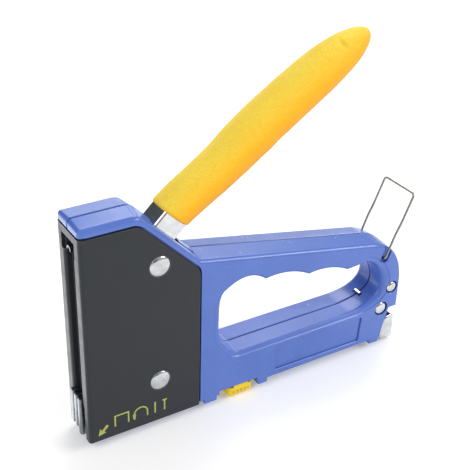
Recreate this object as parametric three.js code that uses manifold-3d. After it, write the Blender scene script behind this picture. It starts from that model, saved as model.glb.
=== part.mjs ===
// Hand staple gun with a sprung lever, a steel nose cover and a pull-out magazine rail.
// Millimetres, +Z up. The nose points to -X, the grip end of the body to +X.
// All shapes are drawn with x counted from the nose's front face; the whole group is then
// shifted so that the origin is the middle of the nose guide's foot, on the working face.

import * as THREE from 'three';
import { mergeVertices } from 'three/addons/utils/BufferGeometryUtils.js';
import Module from 'manifold-3d';

const wasm = await Module();
wasm.setup();

// ---------------------------------------------------------------- driving dimensions

const HALF_WIDTH = 11.5;          // half the width of the body across Y
const SPLIT_GAP = 0.15;           // each shell stops this far from the middle plane
const FIT = 0.3;                  // gap kept between neighbouring pieces
const EDGE_ROUND = 2;             // rounding of the shells' outer edges

const COVER_TOP = 107.8;          // top of the steel nose cover
const COVER_SHEET = 1.2;          // its sheet thickness
const COVER_SLOPE = 135;          // x + z along its sloping edge
const COVER_REAR = 57.5;          // its rear edge
const CAP_TOP = 112;              // top of the head
const HEAD_SLOPE = 140.5;         // x + z along the head's sloping top face
const HANDLE_START = 57.8;        // where the slope meets the handle's top
const HANDLE_RISE = 94.9;         // the handle's top is at z = HANDLE_RISE - HANDLE_FALL * x
const HANDLE_FALL = 0.2;
const BODY_BOTTOM = 0.8;
const FOOT_BOTTOM = -1.3;
const BODY_REAR = 178.4;

const CHAMBER_HALF = 7.6;         // half width of the hollow that holds the mechanism
const TUNNEL_HALF = 7;            // half width of the magazine's tunnel
const TUNNEL_TOP = 18;

const PIVOT = { x: 37, z: 85 };           // lever pivot rivet
const FRONT_RIVET = { x: 36.5, z: 23.1 };
const UPPER_RIVET = { x: 173.3, z: 31.8 };
const LOWER_RIVET = { x: 167.7, z: 20 };
const BIG_HEAD_R = 4.8;
const BIG_SHANK_R = 2.5;
const UPPER_HEAD_R = 3.1;
const LOWER_HEAD_R = 3.5;
const SMALL_SHANK_R = 1.9;

const SHANK_ANGLE = 44;           // degrees, lever shank above horizontal at rest
const SHANK_LOW = -1.1;           // the shank's underside and top, across the line
const SHANK_HIGH = 12.5;          //   that leaves the pivot at SHANK_ANGLE
const LEVER_HALF = 6.4;
const LEVER_SHEET = 1.2;
const LIFT_ARM = 17;              // pivot to lift pin
const LIFT_ANGLE = 19;            // degrees, lift pin below horizontal at rest
const LIFT_PIN_R = 1.8;

const GRIP_START = { x: 48.6, z: 104.4 }; // foam grip axis, end to end
const GRIP_END = { x: 152.4, z: 171.2 };
const GRIP_BOW = 2.3;             // the axis bows upward by this much at its middle

const SPRING_X = 11.9;            // power spring axis
const SPRING_R = 4;               // to the wire's centre
const SPRING_WIRE_R = 0.8;
const SPRING_LOW = 51.1;
const SPRING_TOP = 102.9;
const STRIKER_FLOOR = 45;         // underside of the striker at rest

const GUIDE_FRONT = 2.6;          // nose guide plate, front and rear face
const GUIDE_REAR = 4.9;
const BLADE_FRONT = 5.2;          // driver blade, front and rear face
const BLADE_REAR = 6.4;

const CHANNEL = { x0: 7, x1: 171, half: 6.6, wall: 1, z0: 2.5, z1: 17.2 };
const RAIL = { x0: 7.6, x1: 177, half: 4, wall: 0.9, z0: 3, z1: 10.4 };
const STRIP_END = 70.5;           // rear end of the staple strip
const PUSHER_LENGTH = 12;

const BAIL_PIVOT = { x: 166, z: 51 };
const BAIL_TOP = { x: 181, z: 85 };
const BAIL_HALF = 11.4;           // half the distance between its arms
const BAIL_WIRE_R = 0.6;

const RELEASE = { x0: 71.5, x1: 89, half: 10.8, z0: -4 };  // yellow release slide

// ---------------------------------------------------------------- materials

function material(color, roughness, metalness) {
  return new THREE.MeshStandardMaterial({ color, roughness, metalness });
}

const BLUE = 0x4f68c8;
const YELLOW = 0xf2c81e;
const FOAM = 0xf6b81c;
const BLACK_STEEL = 0x2f3236;
const BRIGHT_STEEL = 0xc9ccce;
const CHROME = 0xdfe1e3;
const SPRING_STEEL = 0x8d9094;
const RUBBER = 0x1f1f20;

// ---------------------------------------------------------------- solid helpers

// A closed three.js geometry as a manifold solid.
function solid(geometry) {
  const bare = geometry.clone();
  bare.deleteAttribute('normal');
  bare.deleteAttribute('uv');
  const merged = mergeVertices(bare, 1e-4);
  const vertProperties = new Float32Array(merged.attributes.position.array);
  const triVerts = new Uint32Array(merged.index.array);
  return new wasm.Manifold(new wasm.Mesh({ numProp: 3, vertProperties, triVerts }));
}

function geometryOf(shape) {
  const mesh = shape.getMesh();
  const geometry = new THREE.BufferGeometry();
  geometry.setAttribute('position', new THREE.BufferAttribute(new Float32Array(mesh.vertProperties), 3));
  geometry.setIndex(new THREE.BufferAttribute(new Uint32Array(mesh.triVerts), 1));
  return geometry;
}

function join(first, ...others) {
  return others.reduce((sum, other) => sum.add(other), first);
}

function cut(first, ...others) {
  return others.reduce((rest, other) => rest.subtract(other), first);
}

function block(x0, x1, y0, y1, z0, z1) {
  const geometry = new THREE.BoxGeometry(x1 - x0, y1 - y0, z1 - z0);
  geometry.translate((x0 + x1) / 2, (y0 + y1) / 2, (z0 + z1) / 2);
  return solid(geometry);
}

// A block as wide as 2 * half, centred on the middle plane.
function centredBlock(x0, x1, half, z0, z1) {
  return block(x0, x1, -half, half, z0, z1);
}

// A shape drawn in x and z, as thick as y0 to y1.
function slabGeometry(shape, y0, y1, options = {}) {
  const bevel = options.bevel ?? 0;
  const geometry = new THREE.ExtrudeGeometry(shape, {
    depth: y1 - y0 - 2 * bevel,
    curveSegments: options.curveSegments ?? 5,
    bevelEnabled: bevel > 0,
    bevelThickness: bevel,
    bevelSize: bevel,
    bevelOffset: -bevel,
    bevelSegments: 2,
  });
  geometry.rotateX(Math.PI / 2);
  geometry.translate(0, y1 - bevel, 0);
  return geometry;
}

function slab(shape, y0, y1, options) {
  return solid(slabGeometry(shape, y0, y1, options));
}

// A round bar across Y.
function bar(at, radius, y0, y1, sides = 20) {
  const geometry = new THREE.CylinderGeometry(radius, radius, y1 - y0, sides);
  geometry.translate(at.x, (y0 + y1) / 2, at.z);
  return solid(geometry);
}

// A polygon whose corners are [x, z] or [x, z, rounding radius].
function outline(corners) {
  const shape = new THREE.Shape();
  const count = corners.length;
  corners.forEach(([x, z, radius = 0], i) => {
    const [beforeX, beforeZ] = corners[(i + count - 1) % count];
    const [afterX, afterZ] = corners[(i + 1) % count];
    const corner = new THREE.Vector2(x, z);
    const back = new THREE.Vector2(beforeX, beforeZ).sub(corner).normalize();
    const ahead = new THREE.Vector2(afterX, afterZ).sub(corner).normalize();
    const start = back.multiplyScalar(radius).add(corner);
    const end = ahead.multiplyScalar(radius).add(corner);
    if (i === 0) {
      shape.moveTo(start.x, start.y);
    } else {
      shape.lineTo(start.x, start.y);
    }
    if (radius > 0) {
      shape.quadraticCurveTo(x, z, end.x, end.y);
    }
  });
  shape.closePath();
  return shape;
}

// A round wire along a list of points, with rounded corners between the straight runs.
function wire(points, radius, corner, steps) {
  const path = new THREE.CurvePath();
  let start = points[0];
  for (let i = 1; i < points.length - 1; i += 1) {
    const here = points[i];
    const back = points[i - 1].clone().sub(here).setLength(corner).add(here);
    const ahead = points[i + 1].clone().sub(here).setLength(corner).add(here);
    path.add(new THREE.LineCurve3(start, back));
    path.add(new THREE.QuadraticBezierCurve3(back, here, ahead));
    start = ahead;
  }
  path.add(new THREE.LineCurve3(start, points[points.length - 1]));
  return sweep(path, radius, steps, 8);
}

function sweep(path, radius, steps, sides) {
  const section = new THREE.Shape();
  for (let i = 0; i < sides; i += 1) {
    const turn = (2 * Math.PI * i) / sides;
    if (i === 0) {
      section.moveTo(radius, 0);
    } else {
      section.lineTo(radius * Math.cos(turn), radius * Math.sin(turn));
    }
  }
  section.closePath();
  return new THREE.ExtrudeGeometry(section, { steps, extrudePath: path, bevelEnabled: false });
}

// A helix of wire about an axis along Z (or laid along X or Y by the caller).
class Helix extends THREE.Curve {
  constructor(radius, length, turns) {
    super();
    this.radius = radius;
    this.length = length;
    this.turns = turns;
  }

  getPoint(t, target = new THREE.Vector3()) {
    const angle = 2 * Math.PI * this.turns * t;
    return target.set(this.radius * Math.cos(angle), this.radius * Math.sin(angle), this.length * t);
  }
}

function coil(radius, wireRadius, length, turns, stepsPerTurn, sides) {
  return sweep(new Helix(radius, length, turns), wireRadius, Math.round(turns * stepsPerTurn), sides);
}

const group = new THREE.Group();

function addPart(name, geometry, finish) {
  const mesh = new THREE.Mesh(geometry, finish);
  mesh.name = name;
  group.add(mesh);
}

function addSolid(name, shape, finish) {
  addPart(name, geometryOf(shape), finish);
}

// ---------------------------------------------------------------- body shells

function handleTop(x) {
  return HANDLE_RISE - HANDLE_FALL * x;
}

// Finger opening, with four finger grooves along its upper side.
function fingerHole() {
  const hole = new THREE.Path();
  hole.moveTo(67.5, 40);
  hole.lineTo(67.6, 52);
  hole.quadraticCurveTo(67.8, 60, 71.3, 61.8);
  hole.quadraticCurveTo(83.5, 69.8, 93.5, 62);
  hole.quadraticCurveTo(107, 63.6, 118.8, 57.1);
  hole.quadraticCurveTo(131, 58.6, 142.5, 52.4);
  hole.quadraticCurveTo(149, 51.4, 154.7, 51.6);
  hole.quadraticCurveTo(159.5, 50, 165.7, 40.7);
  hole.quadraticCurveTo(169.5, 31, 161.3, 27.2);
  hole.quadraticCurveTo(156, 24, 146, 23.6);
  hole.lineTo(80, 23.6);
  hole.quadraticCurveTo(68.5, 26, 67.5, 40);
  return hole;
}

// Anticlockwise, as the clockwise finger opening inside it needs.
function bodyOutline() {
  return outline([
    [1.6, BODY_BOTTOM],
    [168.7, BODY_BOTTOM],
    [173.2, 18.3],
    [BODY_REAR, 18.3],
    [BODY_REAR, 37.5],
    [176.6, 47],
    [172.5, 55],
    [165.5, 60.2],
    [158.5, handleTop(158.5)],
    [HANDLE_START, handleTop(HANDLE_START) - 0.2, 1.5],
    [HEAD_SLOPE - CAP_TOP, CAP_TOP, 3],
    [1.6, CAP_TOP],
  ]);
}

// Steel cover's side outline, grown by a margin all round.
function coverOutline(margin) {
  const top = COVER_TOP + margin;
  const rear = COVER_REAR + margin;
  const slope = COVER_SLOPE + margin * Math.SQRT2;
  return outline([
    [0, -10 * margin],
    [0, top],
    [slope - top, top, 5],
    [rear, slope - rear, 4],
    [rear, -10 * margin, 1],
  ]);
}

function bailGroove(side) {
  const rise = new THREE.Vector2(BAIL_TOP.x - BAIL_PIVOT.x, BAIL_TOP.z - BAIL_PIVOT.z).normalize();
  const groove = new THREE.BoxGeometry(26, 2, 4.6);
  groove.translate(11, 0, 0);
  groove.rotateY(-Math.atan2(rise.y, rise.x));
  groove.translate(BAIL_PIVOT.x, side * (HALF_WIDTH - 0.1), BAIL_PIVOT.z);
  return solid(groove);
}

function wholeBody() {
  const shape = bodyOutline();
  shape.holes.push(fingerHole());
  const shell = slab(shape, -HALF_WIDTH, HALF_WIDTH, { bevel: EDGE_ROUND });
  const capFront = outline([[0, 108.2], [0, CAP_TOP], [14, CAP_TOP], [14, 108.2]]);
  const cap = slab(capFront, -HALF_WIDTH, HALF_WIDTH, { bevel: 1 });
  const feet = [[60, 67.5], [91, 97], [162, 168]].map(([x0, x1]) => (
    centredBlock(x0, x1, HALF_WIDTH - 0.4, FOOT_BOTTOM, BODY_BOTTOM + 4)
  ));

  const chamber = slab(outline([
    [-2, TUNNEL_TOP], [-2, 104.8], [30.6, 104.8], [54.4, 81], [54.4, 22], [19.4, 22], [19.4, 40],
    [6.8, 40], [6.8, TUNNEL_TOP],
  ]), -CHAMBER_HALF, CHAMBER_HALF);
  const leverSlot = slab(outline([[34.5, 100], [34.5, 116], [70, 116], [70, 84.4], [53, 80]]), -7, 7);
  const handleHollow = slab(outline([
    [62, 79.8], [154, 61.4], [154, 55], [142.5, 56], [131, 60], [118.8, 60.8], [107, 65.2],
    [94, 65.8], [83.5, 69.2], [72, 66], [62, 63],
  ]), -9.2, 9.2);
  const tunnel = centredBlock(-2, 185, TUNNEL_HALF, -5, TUNNEL_TOP);
  const releaseNotch = centredBlock(68.6, 90.8, 14, -5, 3.8);
  const catchSlot = join(centredBlock(156.5, 163, 3, 16, 30), centredBlock(149, 163, 3, 16, 19.6));
  const panels = [-1, 1].map((side) => {
    const panel = outline([[100.8, 19.2, 1], [101.6, 5, 1], [153.9, 4.2, 1], [155, 18.5, 1]]);
    const y = side * HALF_WIDTH;
    return slab(panel, y - 0.8, y + 0.8);
  });
  const coverRecess = [
    slab(coverOutline(0.4), -14, -10),
    slab(coverOutline(0.4), 10, 14),
  ];
  const rivetHoles = [
    bar(PIVOT, BIG_SHANK_R + FIT, -14, 14),
    bar(FRONT_RIVET, BIG_SHANK_R + FIT, -14, 14),
    bar(UPPER_RIVET, SMALL_SHANK_R + FIT, -14, 14),
    bar(LOWER_RIVET, SMALL_SHANK_R + FIT, -14, 14),
    bar(BAIL_PIVOT, BAIL_WIRE_R + 0.4, -14, -8, 12),
    bar(BAIL_PIVOT, BAIL_WIRE_R + 0.4, 8, 14, 12),
  ];
  const counterbores = [-1, 1].flatMap((side) => {
    const near = side * (HALF_WIDTH - 1.4);
    const far = side * 14;
    const y0 = Math.min(near, far);
    const y1 = Math.max(near, far);
    return [bar(UPPER_RIVET, UPPER_HEAD_R + 0.4, y0, y1), bar(LOWER_RIVET, LOWER_HEAD_R + 0.6, y0, y1)];
  });
  return cut(
    join(shell, cap, ...feet),
    chamber,
    leverSlot,
    handleHollow,
    tunnel,
    releaseNotch,
    catchSlot,
    ...panels,
    ...coverRecess,
    ...rivetHoles,
    ...counterbores,
    bailGroove(-1),
    bailGroove(1),
  );
}

function addShells() {
  const body = wholeBody();
  const left = block(-10, 200, -20, -SPLIT_GAP, -20, 130);
  const right = block(-10, 200, SPLIT_GAP, 20, -20, 130);
  addSolid('body_shell_left', body.intersect(left), material(BLUE, 0.42, 0));
  addSolid('body_shell_right', body.intersect(right), material(BLUE, 0.42, 0));
}

// ---------------------------------------------------------------- nose

const WEB_HALF = 6.6;             // half width of the pressed recess in the cover's front
const WEB_LOW = 20;
const WEB_HIGH = 96;

function noseCover() {
  const bent = new THREE.Shape();
  const outside = HALF_WIDTH;
  const inside = HALF_WIDTH - COVER_SHEET;
  bent.moveTo(COVER_REAR, -outside);
  bent.lineTo(COVER_REAR, -inside);
  bent.lineTo(COVER_SHEET + 1, -inside);
  bent.quadraticCurveTo(COVER_SHEET, -inside, COVER_SHEET, -inside + 1);
  bent.lineTo(COVER_SHEET, inside - 1);
  bent.quadraticCurveTo(COVER_SHEET, inside, COVER_SHEET + 1, inside);
  bent.lineTo(COVER_REAR, inside);
  bent.lineTo(COVER_REAR, outside);
  bent.lineTo(2.2, outside);
  bent.quadraticCurveTo(0, outside, 0, outside - 2.2);
  bent.lineTo(0, -outside + 2.2);
  bent.quadraticCurveTo(0, -outside, 2.2, -outside);
  bent.closePath();
  const upright = new THREE.ExtrudeGeometry(bent, { depth: COVER_TOP, bevelEnabled: false, curveSegments: 3 });
  const side = slab(coverOutline(0), -15, 15);
  const recess = centredBlock(-2, 1.3, WEB_HALF, WEB_LOW, WEB_HIGH);
  const recessFloor = centredBlock(1, 2.3, WEB_HALF + 0.6, WEB_LOW, WEB_HIGH);
  const window = centredBlock(-2, 5, WEB_HALF + 1, WEB_HIGH, 103.8);
  const noseOpening = centredBlock(-2, 5, WEB_HALF + 0.4, -2, WEB_LOW);
  const rivetHoles = [PIVOT, FRONT_RIVET].map((at) => bar(at, BIG_HEAD_R + 0.5, -15, 15, 28));
  const bentSheet = cut(solid(upright).intersect(side), recess);
  return cut(join(bentSheet, recessFloor), window, noseOpening, ...rivetHoles);
}

// Ribbed steel plate behind the cover's front; the blade runs down its rear face.
function noseGuide() {
  const plate = centredBlock(GUIDE_FRONT, GUIDE_REAR, 6.7, 0, 92);
  const ribs = [[-1.5, 0.4], [2.3, 4.6], [5, 6.6]].map(([y0, y1]) => (
    block(1, GUIDE_FRONT + 0.5, y0, y1, 0, WEB_LOW - 1)
  ));
  return join(plate, ...ribs);
}

function addNose() {
  addSolid('nose_cover', noseCover(), material(BLACK_STEEL, 0.45, 0.6));
  addSolid('nose_guide', noseGuide(), material(BRIGHT_STEEL, 0.3, 0.9));
}

// ---------------------------------------------------------------- rivets

// Domed heads on both sides of a plain shank, turned about the Y axis.
function rivet(at, headRadius, shankRadius, underHead, rise) {
  const reach = underHead + rise;
  const profile = [new THREE.Vector2(0, -reach)];
  const domeSteps = 4;
  for (let i = 1; i <= domeSteps; i += 1) {
    const turn = (i / domeSteps) * (Math.PI / 2);
    profile.push(new THREE.Vector2(headRadius * Math.sin(turn), -underHead - rise * Math.cos(turn) - 0.2));
  }
  profile[0].y -= 0.2;
  profile.push(new THREE.Vector2(headRadius, -underHead));
  profile.push(new THREE.Vector2(shankRadius, -underHead));
  const mirrored = profile.map((point) => new THREE.Vector2(point.x, -point.y)).reverse();
  const geometry = new THREE.LatheGeometry([...profile, ...mirrored], 20);
  geometry.translate(at.x, 0, at.z);
  return geometry;
}

function addRivets() {
  const underCover = 10.3;
  const underRear = HALF_WIDTH - 1.1;
  const steel = () => material(CHROME, 0.22, 1);
  addPart('lever_pivot_rivet', rivet(PIVOT, BIG_HEAD_R, BIG_SHANK_R, underCover, 1.9), steel());
  addPart('front_rivet', rivet(FRONT_RIVET, BIG_HEAD_R, BIG_SHANK_R, underCover, 1.9), steel());
  addPart('rear_upper_rivet', rivet(UPPER_RIVET, UPPER_HEAD_R, SMALL_SHANK_R, underRear, 1.3), steel());
  addPart('rear_lower_rivet', rivet(LOWER_RIVET, LOWER_HEAD_R, SMALL_SHANK_R, underRear, 1.1), steel());
}

// ---------------------------------------------------------------- lever

// A point at a distance along the shank's line from the pivot, and across it.
function onShank(along, across) {
  const angle = THREE.MathUtils.degToRad(SHANK_ANGLE);
  return [
    PIVOT.x + along * Math.cos(angle) - across * Math.sin(angle),
    PIVOT.z + along * Math.sin(angle) + across * Math.cos(angle),
  ];
}

// A point on the grip's bowed axis, 0 at its start and 1 at its tip, moved across the axis.
function onGrip(t, across) {
  const run = GRIP_END.x - GRIP_START.x;
  const climb = GRIP_END.z - GRIP_START.z;
  const length = Math.hypot(run, climb);
  const off = across + GRIP_BOW * (1 - (2 * t - 1) ** 2);
  return [
    GRIP_START.x + t * run - (off * climb) / length,
    GRIP_START.z + t * climb + (off * run) / length,
  ];
}

const liftPinAt = {
  x: PIVOT.x - LIFT_ARM * Math.cos(THREE.MathUtils.degToRad(LIFT_ANGLE)),
  z: PIVOT.z - LIFT_ARM * Math.sin(THREE.MathUtils.degToRad(LIFT_ANGLE)),
};

// Side view of the part of the lever that lies inside the foam; margin grows it.
function coreOutline(margin) {
  return outline([
    onShank(20, SHANK_LOW - margin),
    onShank(29, SHANK_LOW - margin),
    onGrip(0.4, -5 - margin),
    onGrip(0.78, -4 - margin),
    onGrip(0.78 + margin / 90, 4 + margin),
    onGrip(0.4, 5 + margin),
    onShank(31, SHANK_HIGH - 0.4 + margin),
    onShank(20, SHANK_HIGH + margin),
  ]);
}

function leverChannel() {
  const half = LEVER_HALF;
  const shank = slab(outline([
    onShank(-2, SHANK_LOW), onShank(22, SHANK_LOW), onShank(22, SHANK_HIGH), onShank(3, SHANK_HIGH),
    onShank(-4, 5),
  ]), -half, half);
  const core = slab(coreOutline(0), -half, half);
  const eye = bar(PIVOT, 6, -half, half, 28);
  const arm = slab(outline([
    [liftPinAt.x - 1, liftPinAt.z + 3], [PIVOT.x - 2, PIVOT.z + 5.5], [PIVOT.x + 2, PIVOT.z - 5.5],
    [liftPinAt.x + 1, liftPinAt.z - 3],
  ]), -half, half);
  const pinEye = bar(liftPinAt, 3.1, -half, half);
  const whole = join(shank, core, eye, arm, pinEye);
  const web = LEVER_SHEET;
  const innerHalf = half - LEVER_SHEET;
  const hollow = slab(outline([
    onShank(-30, -20), onShank(32, -20), onGrip(0.9, -16), onGrip(0.9, 4 - web), onGrip(0.4, 5 - web),
    onShank(31, SHANK_HIGH - 0.4 - web), onShank(-30, SHANK_HIGH - web),
  ]), -innerHalf, innerHalf);
  return cut(
    whole,
    hollow,
    bar(PIVOT, BIG_SHANK_R + FIT, -half - 1, half + 1),
    bar(liftPinAt, LIFT_PIN_R + FIT, -half - 1, half + 1),
  );
}

// Radius of the foam at t along its axis: a slow swell and a rounded, tapering tip.
function gripRadius(t) {
  const swell = 9.7 + 0.75 * Math.sin(Math.PI * Math.min(t / 0.8, 1));
  const taper = Math.max(0, (t - 0.62) / 0.38);
  return swell * Math.sqrt(Math.max(0, 1 - taper ** 2.6));
}

function foamGrip() {
  const length = Math.hypot(GRIP_END.x - GRIP_START.x, GRIP_END.z - GRIP_START.z);
  const stations = 26;
  const profile = [new THREE.Vector2(0, 0), new THREE.Vector2(8.4, 0), new THREE.Vector2(9.4, 0.7)];
  for (let i = 1; i < stations; i += 1) {
    const t = Math.sin((i / stations) * (Math.PI / 2));
    profile.push(new THREE.Vector2(gripRadius(t), t * length));
  }
  profile.push(new THREE.Vector2(0, length));
  const turned = new THREE.LatheGeometry(profile, 24);
  const climb = Math.atan2(GRIP_END.z - GRIP_START.z, GRIP_END.x - GRIP_START.x);
  turned.rotateX(Math.PI / 2);
  const place = turned.attributes.position;
  for (let i = 0; i < place.count; i += 1) {
    const along = place.getZ(i);
    const across = place.getX(i);
    const t = along / length;
    const off = across + GRIP_BOW * (1 - (2 * t - 1) ** 2);
    place.setXYZ(
      i,
      GRIP_START.x + along * Math.cos(climb) - off * Math.sin(climb),
      -place.getY(i),
      GRIP_START.z + along * Math.sin(climb) + off * Math.cos(climb),
    );
  }
  const pocketHalf = LEVER_HALF + FIT;
  return cut(solid(turned), slab(coreOutline(FIT), -pocketHalf, pocketHalf));
}

// Torsion spring about the pivot rivet, between the lever's cheeks.
function returnSpring() {
  const wireRadius = 0.55;
  const radius = 4;
  const width = 6;
  const turns = 4.25;
  const geometry = coil(radius, wireRadius, width, turns, 14, 8);
  geometry.rotateX(Math.PI / 2);
  geometry.translate(PIVOT.x, width / 2, PIVOT.z);
  return geometry;
}

function addLever() {
  addSolid('lever_channel', leverChannel(), material(CHROME, 0.25, 0.95));
  addSolid('foam_grip', foamGrip(), material(FOAM, 0.95, 0));
  addSolid('lift_pin', bar(liftPinAt, LIFT_PIN_R, -7, 7), material(SPRING_STEEL, 0.3, 1));
  addPart('lever_return_spring', returnSpring(), material(SPRING_STEEL, 0.35, 1));
}

// ---------------------------------------------------------------- drive

function striker() {
  const wallFront = 16.9;
  const wallRear = 17.9;
  const tabLow = liftPinAt.z + LIFT_PIN_R + 0.5;
  const weight = centredBlock(BLADE_REAR + FIT, wallRear, 6, STRIKER_FLOOR, SPRING_LOW - FIT);
  const wall = centredBlock(wallFront, wallRear, 4.6, STRIKER_FLOOR, tabLow + 1.2);
  const tab = centredBlock(wallFront, 22.4, 4.6, tabLow, tabLow + 1.2);
  return join(weight, wall, tab);
}

function powerSpring() {
  const length = SPRING_TOP - SPRING_LOW - 2 * SPRING_WIRE_R;
  const geometry = coil(SPRING_R, SPRING_WIRE_R, length, 12, 12, 6);
  geometry.translate(SPRING_X, 0, SPRING_LOW + SPRING_WIRE_R);
  return geometry;
}

// Cup washer that holds the spring's top end, turned about the spring's axis.
function springSeat() {
  const geometry = new THREE.LatheGeometry([
    new THREE.Vector2(0, SPRING_TOP + FIT),
    new THREE.Vector2(5.6, SPRING_TOP + FIT),
    new THREE.Vector2(5.6, SPRING_TOP - 2),
    new THREE.Vector2(6.4, SPRING_TOP - 2),
    new THREE.Vector2(6.4, SPRING_TOP + 1.5),
    new THREE.Vector2(0, SPRING_TOP + 1.5),
  ], 20);
  geometry.rotateX(Math.PI / 2);
  geometry.translate(SPRING_X, 0, 0);
  return geometry;
}

function addDrive() {
  const blade = centredBlock(BLADE_FRONT, BLADE_REAR, 5.4, 0.4, 60);
  addSolid('driver_blade', blade, material(BRIGHT_STEEL, 0.2, 1));
  addSolid('striker', striker(), material(SPRING_STEEL, 0.4, 0.9));
  addPart('power_spring', powerSpring(), material(SPRING_STEEL, 0.3, 1));
  addPart('spring_seat', springSeat(), material(SPRING_STEEL, 0.4, 0.9));
  addSolid('striker_bumper', centredBlock(7.2, 17.2, 5.6, 40.3, STRIKER_FLOOR - FIT), material(RUBBER, 0.9, 0));
}

// ---------------------------------------------------------------- magazine

// Sheet folded over the top and both sides of what runs below it.
function saddle(x0, x1, outerHalf, innerHalf, z0, z1, ceiling) {
  return cut(centredBlock(x0, x1, outerHalf, z0, z1), centredBlock(x0 - 1, x1 + 1, innerHalf, z0 - 1, ceiling));
}

function pusherRail() {
  const { x0, x1, half, wall, z0, z1 } = RAIL;
  const trough = cut(
    centredBlock(x0, x1, half, z0, z1),
    centredBlock(x0 - 1, x1 + 1, half - wall, z0 + wall, z1 + 1),
  );
  return cut(trough, bar({ x: 174.6, z: 6.4 }, 1.5, -half - 1, half + 1, 12));
}

// Bent steel cap on the rail's end; two cheeks and a rear face.
function rearLatch() {
  const cheeks = outline([[171.1, -2.9], [171.1, 6.4], [173, 10, 1], [179.4, 11.4], [179.9, -3]]);
  return cut(
    slab(cheeks, -9.2, 9.2),
    centredBlock(165, 178.8, 8.2, -6, 14),
  );
}

function pusherSpring() {
  const geometry = coil(2.1, 0.4, 56, 14, 10, 6);
  geometry.rotateY(Math.PI / 2);
  geometry.translate(11, 0, 6.9);
  return geometry;
}

function addMagazine() {
  const inner = CHANNEL.half - CHANNEL.wall;
  const channel = saddle(
    CHANNEL.x0, CHANNEL.x1, CHANNEL.half, inner, CHANNEL.z0, CHANNEL.z1, CHANNEL.z1 - CHANNEL.wall,
  );
  const crown = RAIL.z1 + 0.5;
  const strip = saddle(7.8, STRIP_END, 5.3, 4.35, 3.2, crown + 1, crown);
  const pusherStart = STRIP_END + FIT;
  const pusher = saddle(
    pusherStart, pusherStart + PUSHER_LENGTH, 5.2, RAIL.half + FIT, 4, crown + 2.4, RAIL.z1 + FIT,
  );
  addSolid('magazine_channel', channel, material(BRIGHT_STEEL, 0.35, 0.9));
  addSolid('staple_strip', strip, material(BRIGHT_STEEL, 0.3, 1));
  addSolid('staple_pusher', pusher, material(SPRING_STEEL, 0.4, 0.9));
  addSolid('pusher_rail', pusherRail(), material(BRIGHT_STEEL, 0.35, 0.9));
  addPart('pusher_spring', pusherSpring(), material(SPRING_STEEL, 0.35, 1));
  addSolid('rear_latch', rearLatch(), material(CHROME, 0.2, 1));
  addSolid('latch_pin', bar({ x: 174.6, z: 6.4 }, 1.2, -7.9, 7.9, 12), material(SPRING_STEEL, 0.3, 1));
  const catchSpring = join(
    centredBlock(159.4, 160.2, 2.4, 18.3, 24.6),
    centredBlock(150, 160.2, 2.4, 18.3, 19),
  );
  addSolid('magazine_catch', catchSpring, material(CHROME, 0.25, 1));
}

// ---------------------------------------------------------------- bail and release slide

function wireBail() {
  const foot = (side) => new THREE.Vector3(BAIL_PIVOT.x, side * 9.4, BAIL_PIVOT.z);
  const ankle = (side) => new THREE.Vector3(BAIL_PIVOT.x, side * BAIL_HALF, BAIL_PIVOT.z);
  const kinkLow = (side) => new THREE.Vector3(171.4, side * BAIL_HALF, 64.6);
  const kinkHigh = (side) => new THREE.Vector3(174.4, side * BAIL_HALF, 70.4);
  const top = (side) => new THREE.Vector3(BAIL_TOP.x, side * BAIL_HALF, BAIL_TOP.z);
  const points = [
    foot(-1), ankle(-1), kinkLow(-1), kinkHigh(-1), top(-1),
    top(1), kinkHigh(1), kinkLow(1), ankle(1), foot(1),
  ];
  return wire(points, BAIL_WIRE_R, 1.6, 100);
}

function releaseSlide() {
  const { x0, x1, half, z0 } = RELEASE;
  const tray = slab(outline([[x0, z0, 1.2], [x0, 2, 0.4], [x1, 2, 0.4], [x1, z0, 1.2]]), -half, half);
  const lugs = [-1, 1].map((side) => {
    const y0 = Math.min(side * 7.4, side * half);
    const y1 = Math.max(side * 7.4, side * half);
    return block(x0 + 1, x1 - 1, y0, y1, 1, 3.4);
  });
  const grooves = [0, 1, 2, 3, 4].map((i) => (
    centredBlock(x0 + 3 + i * 2.6, x0 + 4.1 + i * 2.6, half + 1, z0 - 1, z0 + 0.9)
  ));
  return cut(join(tray, ...lugs), ...grooves);
}

function addTrim() {
  addPart('wire_bail', wireBail(), material(SPRING_STEEL, 0.3, 1));
  addSolid('release_slide', releaseSlide(), material(YELLOW, 0.4, 0));
}

addShells();
addNose();
addRivets();
addLever();
addDrive();
addMagazine();
addTrim();

group.position.x = -(GUIDE_FRONT + GUIDE_REAR) / 2;

export default group;
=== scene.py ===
import math

import bmesh
import bpy
from mathutils import Matrix, Vector, noise

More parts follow.
